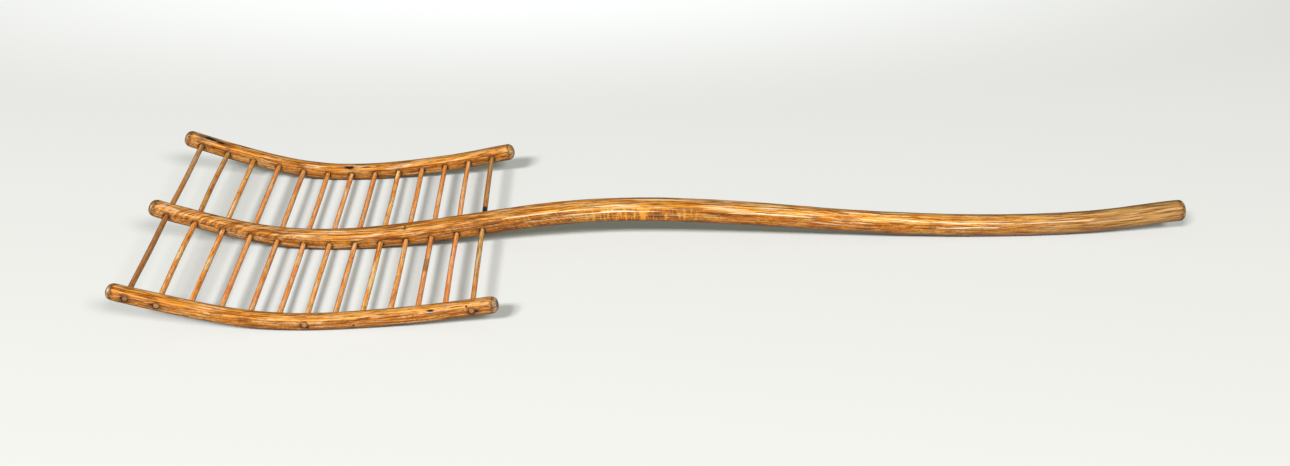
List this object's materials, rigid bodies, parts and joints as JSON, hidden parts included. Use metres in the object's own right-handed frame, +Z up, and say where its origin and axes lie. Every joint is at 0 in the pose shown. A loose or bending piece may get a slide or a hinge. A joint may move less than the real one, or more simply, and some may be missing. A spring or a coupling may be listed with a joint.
{
  "type": "hay fork",
  "caption": "Bent wooden hay fork: a long curved handle that runs on as the middle tine of a wide, ladder-like head of bent rails and straight rungs.",
  "frame": {"origin": "on the floor, under the middle of the fork's bounding box, as it lies at rest", "axes": "+X from the tips to the butt of the handle, +Y to the right rail, +Z up from the floor"},
  "size_m": [1.729, 0.4538, 0.1005],
  "materials": {
    "rail_wood": "golden-brown oak or ash under an old, worn satin varnish, with the grain following the bend",
    "rung_wood": "straight-grained reddish hardwood, hand-shaved, under a worn satin varnish",
    "dark_iron": "dark, dull, lightly rusted"
  },
  "bodies": {
    "root": {"handle": "rail_wood", "left_rail": "rail_wood", "right_rail": "rail_wood", "rung_01": "rung_wood", "rung_02": "rung_wood", "rung_03": "rung_wood", "rung_04": "rung_wood", "rung_05": "rung_wood", "rung_06": "rung_wood", "rung_07": "rung_wood", "rung_08": "rung_wood", "rung_09": "rung_wood", "rung_10": "rung_wood", "rung_11": "rung_wood", "rung_12": "rung_wood", "rung_13": "rung_wood", "brads": "dark_iron"}
  },
  "joints": []
}
